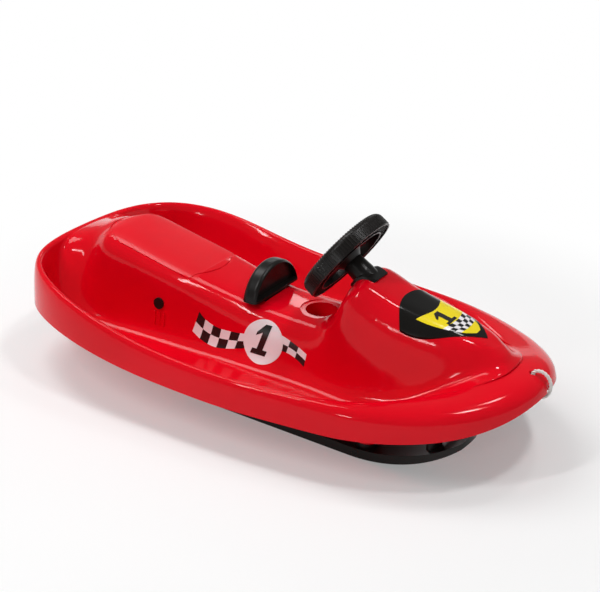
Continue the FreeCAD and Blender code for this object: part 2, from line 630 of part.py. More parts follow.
def ski(label, side):
    body = doc.addObject("PartDesign::Body", label + "_body")
    y = side * ski_y
    foot = Vector(d.ski_rear, 0, 0)
    heel = Vector(d.ski_rear, d.ski_thick, 0)
    top_rise = d.ski_tip_height + d.ski_tip_thick - d.ski_thick
    edges = [Part.LineSegment(foot, Vector(d.ski_rise, 0, 0)),
             sweep_arc(0, d.ski_tip_height),
             Part.LineSegment(Vector(d.ski_tip, d.ski_tip_height, 0),
                              Vector(d.ski_tip, d.ski_tip_height + d.ski_tip_thick, 0)),
             sweep_arc(d.ski_thick, top_rise),
             Part.LineSegment(Vector(d.ski_rise, d.ski_thick, 0), heel),
             Part.LineSegment(heel, foot)]
    plank = body.newObject("PartDesign::Pad", label + "_plank")
    plank.Profile = sketch(body, label + "_side", "XZ_Plane", edges)
    plank.setExpression("Length", "sizes.ski_width")
    plank.SideType = "Symmetric"
    half = d.ski_width / 2
    waist = d.ski_rear + d.ski_end_round
    shoulder = d.ski_tip - d.ski_tip_round
    outline = [Part.LineSegment(Vector(waist, -half, 0), Vector(shoulder, -half, 0)),
               Part.Arc(Vector(shoulder, -half, 0), Vector(d.ski_tip, 0, 0), Vector(shoulder, half, 0)),
               Part.LineSegment(Vector(shoulder, half, 0), Vector(waist, half, 0)),
               Part.Arc(Vector(waist, half, 0), Vector(d.ski_rear, 0, 0), Vector(waist, -half, 0))]
    plan = doc.addObject("PartDesign::Body", label + "_plan")
    block = plan.newObject("PartDesign::Pad", label + "_block")
    block.Profile = sketch(plan, label + "_outline", "XY_Plane", outline)
    block.setExpression("Length", "sizes.ski_tip_height + sizes.overrun")
    plan.Placement = Placement(Vector(0, y, 0), Rotation())
    body.Placement = Placement(Vector(0, y, 0), Rotation())
    pad_low = Vector(d.kingpin_place, y, d.recess_floor)
    pad = cylinder(label + "_pad", "sizes.boss_diameter",
                   "sizes.boss_foot - sizes.gap - sizes.recess_floor", pad_low, up)
    seat_low = Vector(d.ball_place, y, d.pin_foot)
    seat = cylinder(label + "_seat", "sizes.tie_eye",
                    "sizes.tie_bottom - sizes.gap - sizes.pin_foot", seat_low, up)
    pivot = cylinder(label + "_pivot", "sizes.kingpin_diameter + 2 * sizes.run_clearance",
                     "sizes.overrun", Vector(d.kingpin_place, y, 0), up)
    recess = cylinder(label + "_recess", "sizes.recess_diameter", "sizes.recess_floor",
                      Vector(d.kingpin_place, y, 0), up)
    hole = cylinder(label + "_hole", "sizes.tie_pin_diameter", "sizes.overrun",
                    seat_low, up)
    shaped = doc.addObject("Part::Common", label + "_shaped")
    shaped.Base = body
    shaped.Tool = plan
    blank = joined(label + "_blank", shaped, pad, seat)
    tools = joined(label + "_tools", pivot, recess, hole)
    keep(label, less(label + "_cut", blank, tools))
    shank = cylinder(label + "_pin_shank", "sizes.tie_pin_diameter",
                     "sizes.tie_bottom + sizes.tie_thick + sizes.gap - sizes.pin_foot",
                     seat_low, up)
    cap = cylinder(label + "_pin_cap", "sizes.tie_clip_diameter", "sizes.tie_clip_thick",
                   Vector(d.ball_place, y, d.tie_bottom + d.tie_thick + d.gap), up)
    keep(label.replace("ski", "tie_pin"), joined(label + "_pin", shank, cap))


ski("left_ski", 1)
ski("right_ski", -1)

# Kingpins with their washers and nuts, fixed in the tub's bosses.
washer_low = d.recess_floor - d.gap - d.washer_thick
nut_low = washer_low - d.nut_thick
derive("pin_shank", head_seat - nut_low)
pins = []
washers = []
nuts = []
for side, name in zip(sides, ("left", "right")):
    foot = Vector(d.kingpin_place, side * ski_y, nut_low)
    shank = cylinder(name + "_kingpin_shank", "sizes.kingpin_diameter", "sizes.pin_shank", foot, up)
    head = cylinder(name + "_kingpin_head", "sizes.pin_head_diameter", "sizes.pin_head_thick",
                    Vector(d.kingpin_place, side * ski_y, head_seat), up)
    pins += [joined(name + "_kingpin", shank, head)]
    disc = cylinder(name + "_washer_disc", "sizes.washer_diameter", "sizes.washer_thick",
                    Vector(d.kingpin_place, side * ski_y, washer_low), up)
    hole = cylinder(name + "_washer_hole", "sizes.kingpin_diameter", "sizes.washer_thick",
                    Vector(d.kingpin_place, side * ski_y, washer_low), up)
    washers.append(less(name + "_washer", disc, hole))
    hexagon = doc.addObject("Part::Prism", name + "_nut_block")
    hexagon.Polygon = 6
    bind(hexagon, Circumradius="sizes.nut_diameter / 2", Height="sizes.nut_thick")
    hexagon.Placement = Placement(foot, Rotation())
    thread = cylinder(name + "_nut_hole", "sizes.kingpin_diameter", "sizes.nut_thick", foot, up)
    nuts.append(less(name + "_nut", hexagon, thread))
for label, group in (("kingpins", pins), ("kingpin_washers", washers), ("kingpin_nuts", nuts)):
    pair = doc.addObject("Part::Compound", label + "_pair")
    pair.Links = group
    keep(label, pair)

# Tie rod: a bar with an eye at each end and a fork that takes the column's ball.
bar = doc.addObject("Part::Box", "tie_bar")
bind(bar, Length="sizes.tie_width", Width="sizes.ski_gauge", Height="sizes.tie_thick")
bar.Placement = Placement(Vector(d.ball_place - d.tie_width / 2, -ski_y, d.tie_bottom), Rotation())
derive("fork_top", ball_centre.z + d.fork_over)
tie_parts = [bar]
tie_holes = []
for side, name in zip(sides, ("left", "right")):
    spot = Vector(d.ball_place, side * ski_y, d.tie_bottom)
    tie_parts.append(cylinder(name + "_eye", "sizes.tie_eye", "sizes.tie_thick", spot, up))
    tie_holes.append(cylinder(name + "_eye_hole", "sizes.tie_pin_diameter + 2 * sizes.run_clearance",
                              "sizes.tie_thick", spot, up))
    prong = doc.addObject("Part::Box", name + "_prong")
    bind(prong, Length="sizes.fork_length", Width="sizes.fork_thick",
         Height="sizes.fork_top - sizes.tie_bottom")
    near = d.ball_diameter / 2 + d.gap + d.run_clearance
    low_y = near if side > 0 else -near - d.fork_thick
    prong.Placement = Placement(Vector(d.ball_place - d.fork_back, low_y, d.tie_bottom), Rotation())
    tie_parts.append(prong)
keep("tie_rod", less("tie_rod_cut", joined("tie_blank", *tie_parts), joined("tie_bores", *tie_holes)))

# Brake axle and the plugs over its ends.
axle_reach = skin_side(d.axle_place, d.axle_height) - d.gap
feature("brake_axle", rod(d.axle_diameter, axle_centre - left * axle_reach, axle_centre + left * axle_reach))
plug_span = left * (axle_reach + d.overrun / 2)
plug_rod = rod(d.plug_diameter, axle_centre - plug_span, axle_centre + plug_span)
feature("axle_plugs", shell_solid(net, d.plug_proud, 0).common(plug_rod))

# The handle stands just over the highest point of the seat under it.
def handle_place(foot):
    return d.axle_place + math.sqrt(d.lever_radius ** 2 - (foot - d.axle_height) ** 2)


handle_guess = handle_place(skin_height(d.axle_place + d.lever_radius, 0))
foot_places = [(handle_guess + fore * d.handle_thick / 2, side * d.handle_width / 2)
               for fore in (-1, 0, 1) for side in (-1, 0, 1)]
derive("handle_foot", max(skin_height(x, y) for x, y in foot_places) + d.gap)
handle_x = handle_place(d.handle_foot)

# Brake lever: a hub on the axle, two arms to the stem in front and two to the claw bar behind.
hub_base = axle_centre - left * d.lever_hub_width / 2
lever_parts = [cylinder("lever_hub_tube", "sizes.lever_hub", "sizes.lever_hub_width", hub_base, left)]
droop = Rotation(left, d.arm_droop)
claw_drop = d.axle_height - d.claw_bar_height
claw_length = math.hypot(d.claw_reach, claw_drop)
rear_turn = Rotation(left, 180 - math.degrees(math.atan2(claw_drop, d.claw_reach)))
for side, name in zip(sides, ("left", "right")):
    y = side * d.arm_gauge / 2 - d.arm_width / 2
    front_arm = doc.addObject("Part::Box", name + "_front_arm")
    bind(front_arm, Length="sizes.lever_radius", Width="sizes.arm_width", Height="sizes.arm_height")
    corner = droop.multVec(Vector(0, 0, -d.arm_height / 2))
    front_arm.Placement = Placement(axle_centre + corner + left * y, droop)
    rear_arm = doc.addObject("Part::Box", name + "_rear_arm")
    bind(rear_arm, Length="sqrt(sizes.claw_reach^2 + (sizes.axle_height - sizes.claw_bar_height)^2)",
         Width="sizes.arm_width", Height="sizes.arm_height")
    corner = rear_turn.multVec(Vector(0, 0, -d.arm_height / 2))
    rear_arm.Placement = Placement(axle_centre + corner + left * y, rear_turn)
    lever_parts += [front_arm, rear_arm]
stem = rod(2 * d.lever_radius + d.stem_thick, axle_centre - left * d.stem_width / 2,
           axle_centre + left * d.stem_width / 2)
stem = stem.cut(rod(2 * d.lever_radius - d.stem_thick, axle_centre - left * d.stem_width / 2,
                    axle_centre + left * d.stem_width / 2))
stem_foot = d.axle_height - d.lever_radius * math.sin(math.radians(d.arm_droop)) - d.arm_height / 2
stem_window = Part.makeBox(2 * d.lever_radius, d.stem_width, d.handle_foot - stem_foot)
stem_window.translate(Vector(d.axle_place, -d.stem_width / 2, stem_foot))
stem_item = doc.addObject("Part::Feature", "lever_stem")
stem_item.Shape = stem.common(stem_window)
claw_bar = doc.addObject("Part::Box", "claw_bar")
bind(claw_bar, Length="sizes.claw_bar_thick", Width="sizes.claw_width", Height="sizes.claw_bar_rise")
bar_x = d.axle_place - d.claw_reach - d.claw_bar_thick / 2
claw_bar.Placement = Placement(
    Vector(bar_x, -d.claw_width / 2, d.claw_bar_height - d.claw_bar_rise / 2), Rotation())
lever_blank = joined("lever_blank", stem_item, claw_bar, *lever_parts)
lever_bore = cylinder("lever_bore", "sizes.axle_diameter + 2 * sizes.run_clearance",
                      "sizes.lever_hub_width", hub_base, left)
screw_y = d.claw_width / 4
lever_tools = [lever_bore]
screws = []
screw_x = bar_x - d.claw_thick
for side, name in zip(sides, ("left", "right")):
    spot = Vector(screw_x, side * screw_y, d.claw_bar_height)
    lever_tools.append(cylinder(name + "_screw_hole", "sizes.screw_diameter", "sizes.screw_length",
                                spot, Vector(1, 0, 0)))
    shank = cylinder(name + "_screw_shank", "sizes.screw_diameter", "sizes.screw_length",
                     spot, Vector(1, 0, 0))
    screw_cap = cylinder(name + "_screw_cap", "sizes.screw_head", "sizes.screw_head_thick",
                         spot, Vector(-1, 0, 0))
    screws.append(joined(name + "_claw_screw", shank, screw_cap))
keep("brake_lever", less("lever_cut", lever_blank, joined("lever_bores", *lever_tools)))
screw_pair = doc.addObject("Part::Compound", "claw_screw_pair")
screw_pair.Links = screws
keep("claw_screws", screw_pair)

# Claws: a steel plate with a row of teeth, screwed to the claw bar.
TOOTH_COUNT = 5
claw_top = d.claw_bar_height + d.claw_bar_rise / 2
teeth = []
pitch = d.claw_width / TOOTH_COUNT
for k in range(TOOTH_COUNT):
    start = -d.claw_width / 2 + k * pitch
    teeth.append(Vector(start, d.claw_tip + d.claw_tooth, 0))
    teeth.append(Vector(start + pitch / 2, d.claw_tip, 0))
teeth.append(Vector(d.claw_width / 2, d.claw_tip + d.claw_tooth, 0))
outline = teeth + [Vector(d.claw_width / 2, claw_top, 0), Vector(-d.claw_width / 2, claw_top, 0)]
plate = doc.addObject("PartDesign::Body", "claw_body")
blade = plate.newObject("PartDesign::Pad", "claw_blade")
blade.Profile = sketch(plate, "claw_outline", "YZ_Plane", loop(outline))
blade.setExpression("Length", "sizes.claw_thick")
eyes = plate.newObject("PartDesign::Pocket", "claw_eyes")
eyes.Profile = sketch(plate, "claw_holes", "YZ_Plane", [
    Part.Circle(Vector(side * screw_y, d.claw_bar_height, 0), up, d.screw_diameter / 2) for side in sides])
eyes.Type = "ThroughAll"
eyes.Reversed = True
plate.Placement = Placement(Vector(screw_x, 0, 0), Rotation())
keep("brake_claws", plate)

# Brake handle: a rounded half moon across the sled, its front sunk behind a rim.
handle = doc.addObject("PartDesign::Body", "handle_body")
half = d.handle_width / 2
height = d.handle_rise
base_line = Part.LineSegment(Vector(half, 0, 0), Vector(-half, 0, 0))
crown = Part.Arc(Vector(-half, 0, 0), Vector(0, height, 0), Vector(half, 0, 0))
moon = handle.newObject("PartDesign::Pad", "handle_moon")
moon.Profile = sketch(handle, "handle_outline", "YZ_Plane", [base_line, crown])
moon.setExpression("Length", "sizes.handle_thick")
moon.SideType = "Symmetric"
doc.recompute()
crown_edges = ["Edge%d" % n for n, edge in enumerate(moon.Shape.Edges, 1)
               if edge.Curve.TypeId == "Part::GeomCircle"]
soft = handle.newObject("PartDesign::Fillet", "handle_soft")
soft.Base = (moon, crown_edges)
soft.setExpression("Radius", "sizes.handle_round")
inner_half = half - d.handle_wall
inner_height = height - d.handle_wall
web_line = Part.LineSegment(Vector(inner_half, d.handle_wall, 0), Vector(-inner_half, d.handle_wall, 0))
web_crown = Part.Arc(Vector(-inner_half, d.handle_wall, 0), Vector(0, inner_height, 0),
                     Vector(inner_half, d.handle_wall, 0))
web = handle.newObject("PartDesign::Pocket", "handle_front")
web.Profile = sketch(handle, "handle_web", "YZ_Plane", [web_line, web_crown])
web.Profile[0].AttachmentOffset = Placement(Vector(0, 0, d.handle_thick / 2 - d.handle_recess), Rotation())
web.setExpression("Length", "sizes.handle_thick")
web.Reversed = True
handle.Placement = Placement(Vector(handle_x, 0, d.handle_foot), Rotation())
keep("brake_handle", handle)

# Tow loop: a rope through the deck hole, over the notch in the lip and back to its knot.
ROPE_ROUTE = [Vector(450, 0, 141), Vector(451, 0, 161), Vector(468, 0, 163), Vector(482, 0, 148),
              Vector(480, 0, 124), Vector(463, 0, 115), Vector(451, 0, 139)]
ROPE_BEND_SHARE = 0.45
bends = []
for a, b, c in zip(ROPE_ROUTE, ROPE_ROUTE[1:], ROPE_ROUTE[2:]):
    turn = (b - a).getAngle(c - b)
    bends.append(ROPE_BEND_SHARE * min((b - a).Length, (c - b).Length) / math.tan(turn / 2))
print("tow loop radii", [round(r, 1) for r in bends])
rope, rope_length = path_tube(ROPE_ROUTE, d.rope_diameter, bends)
# The knot is drawn up until it meets the edge of the hole under the deck.
hole_half = d.rope_hole_diameter / 2
hole_edge = min(skin_floor(rope_hole_place + x * hole_half, y * hole_half)
                for x, y in ((1, 0), (0, 1), (-1, 0), (0, -1)))
knot_drop = math.sqrt((d.knot_diameter / 2) ** 2 - hole_half ** 2) + d.run_clearance
knot_centre = Vector(rope_hole_place, 0, hole_edge - knot_drop)
knot = doc.addObject("Part::Sphere", "knot_ball")
bind(knot, Radius="sizes.knot_diameter / 2")
knot.Placement = Placement(knot_centre, Rotation())
print("tow loop length", round(rope_length, 1), "knot", knot_centre)
print("rope volume share", round(rope.Volume / (math.pi * d.rope_diameter ** 2 / 4 * rope_length), 4))
rope = rope.cut(Part.makeSphere(d.knot_diameter / 2 + d.run_clearance, knot_centre))
feature("tow_rope", rope)
keep("rope_knot", knot)

doc.recompute()
faults = []
for item in doc.Objects:
    if "Invalid" in item.State or "Error" in item.State:
        faults.append((item.Name, item.State))
for label, item in nodes.items():
    if item.Shape.isNull() or not item.Shape.isValid() or not item.Shape.Solids:
        faults.append((label, "shape"))
if faults:
    raise RuntimeError(faults)
for label, item in nodes.items():
    item.Shape.exportStep("parts/%s.step" % label)
    box = item.Shape.BoundBox
    print(label, len(item.Shape.Solids), round(item.Shape.Volume / 1000, 1),
          [round(v, 1) for v in (box.XMin, box.XMax, box.YMin, box.YMax, box.ZMin, box.ZMax)])
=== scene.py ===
# %% [markdown]
# # A steering sled
# The imported sled comes in as a fixed frame: one mesh for each solid piece, already in place, in metres.
# Everything below dresses that frame.

# %% Load the frame
import json
import math

import bpy
from mathutils import Matrix, Vector


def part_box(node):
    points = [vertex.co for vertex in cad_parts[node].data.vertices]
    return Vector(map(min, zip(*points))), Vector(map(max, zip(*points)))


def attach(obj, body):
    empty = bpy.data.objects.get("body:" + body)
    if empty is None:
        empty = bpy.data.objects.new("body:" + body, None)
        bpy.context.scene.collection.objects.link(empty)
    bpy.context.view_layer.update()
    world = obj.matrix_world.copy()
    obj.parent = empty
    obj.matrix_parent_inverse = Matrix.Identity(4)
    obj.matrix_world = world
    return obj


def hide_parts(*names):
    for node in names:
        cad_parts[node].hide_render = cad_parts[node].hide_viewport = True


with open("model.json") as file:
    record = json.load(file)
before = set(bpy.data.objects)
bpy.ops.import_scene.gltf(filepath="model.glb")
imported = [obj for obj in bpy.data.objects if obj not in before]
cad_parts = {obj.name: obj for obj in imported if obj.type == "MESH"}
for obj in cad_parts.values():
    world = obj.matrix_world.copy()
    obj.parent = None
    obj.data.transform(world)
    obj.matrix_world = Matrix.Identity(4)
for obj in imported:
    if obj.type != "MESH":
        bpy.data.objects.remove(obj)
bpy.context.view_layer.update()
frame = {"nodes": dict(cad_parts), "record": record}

nodes = frame["nodes"]
scene = bpy.context.scene

# %% [markdown]
# ## Camera
# The sled was photographed from its front right, from well above, with the camera's frame shifted.
# A lens shift keeps the perspective of the straight view, so it is set on the camera, not by turning it.
# The rotation is written as the camera's own three axes: right, up and back.

# %% Camera
PHOTO_WIDTH, PHOTO_HEIGHT = 600, 592
FOCAL_PIXELS = 1003.0
AXIS_PIXEL = (261.05, 369.07)
SENSOR_WIDTH = 36
CAMERA_PLACE = (0.864, -1.337, 0.920)
CAMERA_AZIMUTH = math.radians(34.526)
CAMERA_ELEVATION = math.radians(29.554)

camera_data = bpy.data.cameras.new("photo_camera")
camera_data.sensor_fit = "HORIZONTAL"
camera_data.sensor_width = SENSOR_WIDTH
camera_data.lens = FOCAL_PIXELS / PHOTO_WIDTH * SENSOR_WIDTH
camera_data.shift_x = (PHOTO_WIDTH / 2 - AXIS_PIXEL[0]) / PHOTO_WIDTH
camera_data.shift_y = (AXIS_PIXEL[1] - PHOTO_HEIGHT / 2) / PHOTO_WIDTH
camera = bpy.data.objects.new("photo_camera", camera_data)
scene.collection.objects.link(camera)
sin_a, cos_a = math.sin(CAMERA_AZIMUTH), math.cos(CAMERA_AZIMUTH)
sin_e, cos_e = math.sin(CAMERA_ELEVATION), math.cos(CAMERA_ELEVATION)
right = Vector((cos_a, sin_a, 0))
back = Vector((sin_a * cos_e, -cos_a * cos_e, sin_e))
above = back.cross(right)
turn = Matrix((right, above, back)).transposed().to_4x4()
camera.matrix_world = Matrix.Translation(CAMERA_PLACE) @ turn
bpy.context.scene.camera = camera
print("lens", round(camera_data.lens, 2), "mm")

# %% [markdown]
# ## Studio
# Glossy plastic shows its surroundings, so what stands around the sled matters as much as how bright it is.
# The floor comes first. It is a large pale sheet with a paper finish, which keeps the sled's shadow. It lies
# a hair below the ground line, so that it never cuts into the runners.

# %% Floor
scene.view_settings.view_transform = "Standard"
FLOOR_SIZE = 60
FLOOR_DROP = 0.0005
PAPER_WHITE, PAPER_ROUGHNESS = 0.96, 0.9


def deselect():
    bpy.ops.object.select_all(action="DESELECT")


deselect()
bpy.ops.mesh.primitive_plane_add(size=FLOOR_SIZE, location=(0, 0, -FLOOR_DROP))
floor = bpy.context.object
floor.name = "studio_floor"
floor_finish = bpy.data.materials.new("studio_floor")
floor_finish.use_nodes = True
floor_tree = floor_finish.node_tree
paper = floor_tree.nodes["Principled BSDF"]
paper.inputs["Base Color"].default_value = (PAPER_WHITE, PAPER_WHITE, PAPER_WHITE, 1)
paper.inputs["Roughness"].default_value = PAPER_ROUGHNESS
floor.data.materials.append(floor_finish)
print("floor:", FLOOR_SIZE, "m across")

# %% [markdown]
# Away from the sled the floor runs out into plain white, as a paper sweep does. There it shows an even white to
# the camera, and to reflections, while it still takes and bounces light as paper. Near the sled it is mostly
# paper, so the shadow stays. A small helper wires one arithmetic node, and the finishes use it again later.

# %% White surround
SWEEP_NEAR, SWEEP_FAR, SWEEP_LEAST = 0.58, 1.0, 0.25
PLAIN_WHITE = 1.0


def arithmetic(tree, kind, first, second):
    item = tree.nodes.new("ShaderNodeMath")
    item.operation = kind
    for socket, source in zip(item.inputs, (first, second)):
        if isinstance(source, (int, float)):
            socket.default_value = source
        else:
            tree.links.new(source, socket)
    return item.outputs["Value"]


rays = floor_tree.nodes.new("ShaderNodeLightPath")
mirrored = arithmetic(floor_tree, "ADD", rays.outputs["Is Glossy Ray"], rays.outputs["Is Transmission Ray"])
seen = arithmetic(floor_tree, "ADD", rays.outputs["Is Camera Ray"], mirrored)
seen.node.use_clamp = True
spot = floor_tree.nodes.new("ShaderNodeTexCoord")
reach = floor_tree.nodes.new("ShaderNodeVectorMath")
reach.operation = "LENGTH"
floor_tree.links.new(spot.outputs["Object"], reach.inputs[0])
fade = floor_tree.nodes.new("ShaderNodeMapRange")
fade.interpolation_type = "SMOOTHSTEP"
fade.inputs["From Min"].default_value = SWEEP_NEAR
fade.inputs["From Max"].default_value = SWEEP_FAR
fade.inputs["To Min"].default_value = SWEEP_LEAST
floor_tree.links.new(reach.outputs["Value"], fade.inputs["Value"])
share = arithmetic(floor_tree, "MULTIPLY", seen, fade.outputs["Result"])
glow = floor_tree.nodes.new("ShaderNodeEmission")
glow.inputs["Strength"].default_value = PLAIN_WHITE
blend = floor_tree.nodes.new("ShaderNodeMixShader")
floor_tree.links.new(share, blend.inputs["Fac"])
floor_tree.links.new(paper.outputs["BSDF"], blend.inputs[1])
floor_tree.links.new(glow.outputs["Emission"], blend.inputs[2])
floor_tree.links.new(blend.outputs["Shader"], floor_tree.nodes["Material Output"].inputs["Surface"])
print("floor: mostly paper to", SWEEP_NEAR, "m, white from", SWEEP_FAR, "m")

# %% [markdown]
# The room itself is only a dim even white, which fills the shadows. Far out, a low round wall of the same white
# paper closes the floor's edge, for views from near the ground.

# %% Room
ROOM_FILL = 0.30
WALL_REACH, WALL_HEIGHT, WALL_SIDES = 29, 5.5, 96
world = bpy.data.worlds.new("studio")
scene.world = world
world.use_nodes = True
sky = world.node_tree.nodes["Background"]
sky.inputs["Color"].default_value = (1, 1, 1, 1)
sky.inputs["Strength"].default_value = ROOM_FILL
deselect()
bpy.ops.mesh.primitive_cylinder_add(vertices=WALL_SIDES, radius=WALL_REACH, depth=WALL_HEIGHT,
                                    end_fill_type="NOTHING", location=(0, 0, WALL_HEIGHT / 2 - FLOOR_DROP))
wall = bpy.context.object
wall.name = "studio_wall"
wall.data.materials.append(floor_finish)
print("room fill", ROOM_FILL, "and a wall at", WALL_REACH, "m")

# %% [markdown]
# A broad panel overhead gives most of the light. Small bright panels draw the highlights: a long strip for the
# streak on the mound's shoulder, one above the nose for the lip, and others for the level parts, the hood's side
# and the deck. Together they light a level white card to about white. Each panel has a place, a point that it
# faces, its two sides in metres and its power in watts.

# %% Light panels
PANELS = {
    "overhead": ((-1.35, 0.05, 2.8), (-0.05, 0.0, 0.1), (0.8, 1.7), 31),
    "streak": ((-0.95, -1.95, 2.5), (-0.1, -0.05, 0.15), (0.13, 1.3), 23),
    "front_top": ((0.95, 0.05, 2.6), (0.35, 0.0, 0.1), (0.38, 0.27), 15),
    "far_side": ((-1.15, 1.8, 1.35), (0.0, 0.0, 0.15), (0.36, 0.24), 1.5),
    "near_side": ((0.29, -2.32, 1.0), (0.24, -0.06, 0.19), (0.26, 0.15), 3),
    "deck": ((0.44, 0.96, 2.6), (0.41, 0.0, 0.16), (0.25, 0.25), 6),
}
for name, (place, target, size, power) in PANELS.items():
    lamp = bpy.data.lights.new(name, "AREA")
    lamp.shape = "RECTANGLE"
    lamp.size, lamp.size_y = size
    lamp.energy = power
    panel = bpy.data.objects.new(name, lamp)
    scene.collection.objects.link(panel)
    panel.location = place
    aim = Vector(target) - Vector(place)
    panel.rotation_euler = aim.to_track_quat("-Z", "Y").to_euler()
print("studio panels:", ", ".join(PANELS))

# %% [markdown]
# ## Moulded plastic
# The tub is one glossy red moulding and the fittings are satin black. Real moulded plastic is never one flat
# colour: its shine drifts a little, and it has a very fine grain. Both come from noise on object coordinates,
# so the grain has a true size in metres. Image textures would need unwrapping; noise needs none.

# %% Finish helpers
NOISE_DETAIL, NOISE_LOW, NOISE_HIGH = 3.0, 0.3, 0.7


def start_finish(name):
    finish = bpy.data.materials.new(name)
    finish.use_nodes = True
    tree = finish.node_tree
    shader = tree.nodes["Principled BSDF"]
    place = tree.nodes.new("ShaderNodeTexCoord")
    return finish, tree, shader, place


def noise(tree, place, scale, detail=NOISE_DETAIL):
    item = tree.nodes.new("ShaderNodeTexNoise")
    item.inputs["Scale"].default_value = scale
    item.inputs["Detail"].default_value = detail
    tree.links.new(place.outputs["Object"], item.inputs["Vector"])
    return item.outputs["Fac"]


def spread(tree, source, low, high, from_low=NOISE_LOW, from_high=NOISE_HIGH):
    item = tree.nodes.new("ShaderNodeMapRange")
    item.inputs["From Min"].default_value = from_low
    item.inputs["From Max"].default_value = from_high
    item.inputs["To Min"].default_value = low
    item.inputs["To Max"].default_value = high
    tree.links.new(source, item.inputs["Value"])
    return item.outputs["Result"]


def two_colours(tree, share, first, second):
    item = tree.nodes.new("ShaderNodeMix")
    item.data_type = "RGBA"
    item.inputs["A"].default_value = (*first, 1)
    item.inputs["B"].default_value = (*second, 1)
    tree.links.new(share, item.inputs["Factor"])
    return item.outputs["Result"]


def grain(tree, shader, source, strength, depth):
    item = tree.nodes.new("ShaderNodeBump")
    item.inputs["Strength"].default_value = strength
    item.inputs["Distance"].default_value = depth
    tree.links.new(source, item.inputs["Height"])
    tree.links.new(item.outputs["Normal"], shader.inputs["Normal"])


# %% [markdown]
# The seat pad is moulded with a leather-like grain, so it shines far less than the rest of the tub. It is not a
# piece of its own: the same red material tells the pad by its place, with a soft-edged mask made from the
# object's own coordinates.

# %% Seat pad mask
PAD_MIDDLE, PAD_REACH, PAD_HALF, PAD_LOW = -0.262, 0.113, 0.066, 0.176
PAD_EDGE = 0.006


def pad_mask(tree, place):
    parts = tree.nodes.new("ShaderNodeSeparateXYZ")
    tree.links.new(place.outputs["Object"], parts.inputs["Vector"])
    along = arithmetic(tree, "ABSOLUTE", arithmetic(tree, "SUBTRACT", parts.outputs["X"], PAD_MIDDLE), 0)
    across = arithmetic(tree, "ABSOLUTE", parts.outputs["Y"], 0)
    in_length = spread(tree, along, 1, 0, PAD_REACH - PAD_EDGE, PAD_REACH)
    in_width = spread(tree, across, 1, 0, PAD_HALF - PAD_EDGE, PAD_HALF)
    on_top = spread(tree, parts.outputs["Z"], 0, 1, PAD_LOW - PAD_EDGE, PAD_LOW)
    return arithmetic(tree, "MULTIPLY", arithmetic(tree, "MULTIPLY", in_length, in_width), on_top)


# %% Red tub finish
RED_BRIGHT, RED_DEEP, RED_DRIFT_SCALE = (0.78, 0.0012, 0.012), (0.70, 0.0008, 0.009), 6.0
RED_SMOOTH, RED_ROUGH, RED_SHINE_SCALE = 0.05, 0.09, 19.0
RED_IOR = 1.27
PAD_ROUGHER = 0.42
PAD_GRAIN_SCALE, PAD_GRAIN_STRENGTH, PAD_GRAIN_DEPTH = 700.0, 0.35, 0.0003
TUB_GRAIN_SHARE = 0.06
GRAIN_DETAIL = 2.0


def red_finish():
    finish, tree, shader, place = start_finish("red_plastic")
    drift = spread(tree, noise(tree, place, RED_DRIFT_SCALE), 0, 1)
    tree.links.new(two_colours(tree, drift, RED_BRIGHT, RED_DEEP), shader.inputs["Base Color"])
    pad = pad_mask(tree, place)
    shine = spread(tree, noise(tree, place, RED_SHINE_SCALE), RED_SMOOTH, RED_ROUGH)
    matte = arithmetic(tree, "MULTIPLY", pad, PAD_ROUGHER)
    tree.links.new(arithmetic(tree, "ADD", shine, matte), shader.inputs["Roughness"])
    amount = arithmetic(tree, "ADD", pad, TUB_GRAIN_SHARE)
    fine = arithmetic(tree, "MULTIPLY", noise(tree, place, PAD_GRAIN_SCALE, GRAIN_DETAIL), amount)
    grain(tree, shader, fine, PAD_GRAIN_STRENGTH, PAD_GRAIN_DEPTH)
    shader.inputs["IOR"].default_value = RED_IOR
    return finish


red_plastic = red_finish()
print("red tub: roughness from", RED_SMOOTH, "and on the pad", PAD_ROUGHER, "more")

# %% [markdown]
# The other finishes are all built alike: two near colours that drift into each other, a roughness that drifts
# too, and a fine grain. So one function makes them, from a table with a row for each finish: its two colours, its
# lowest and highest roughness, and its grain's scale and strength. Then every solid gets the finish of its slot.

# %% Other finishes
DRIFT_SCALE, SHINE_SCALE, GRAIN_DEPTH = 7.0, 21.0, 0.0002
DARK_IOR = 1.30
FINISHES = {
    "black_plastic": ((0.006, 0.005, 0.0045), (0.010, 0.008, 0.007), 0.26, 0.36, 1500, 0.10),
    "shield_film": ((0.005, 0.0045, 0.004), (0.008, 0.007, 0.006), 0.10, 0.16, 1200, 0.02),
    "plated_steel": ((0.42, 0.43, 0.44), (0.34, 0.35, 0.36), 0.36, 0.48, 2200, 0.06),
    "rope_white": ((0.84, 0.83, 0.80), (0.72, 0.71, 0.68), 0.75, 0.90, 1800, 0.30),
    "print_white": ((0.86, 0.82, 0.84), (0.81, 0.77, 0.79), 0.14, 0.22, 1400, 0.03),
    "print_black": ((0.010, 0.009, 0.009), (0.015, 0.013, 0.013), 0.14, 0.22, 1400, 0.03),
    "print_yellow": ((0.90, 0.72, 0.004), (0.84, 0.64, 0.003), 0.14, 0.22, 1400, 0.03),
}


def moulded(name, first, second, rough_low, rough_high, grain_scale, grain_strength):
    finish, tree, shader, place = start_finish(name)
    drift = spread(tree, noise(tree, place, DRIFT_SCALE), 0, 1)
    tree.links.new(two_colours(tree, drift, first, second), shader.inputs["Base Color"])
    shine = spread(tree, noise(tree, place, SHINE_SCALE), rough_low, rough_high)
    tree.links.new(shine, shader.inputs["Roughness"])
    grain(tree, shader, noise(tree, place, grain_scale, GRAIN_DETAIL), grain_strength, GRAIN_DEPTH)
    return finish


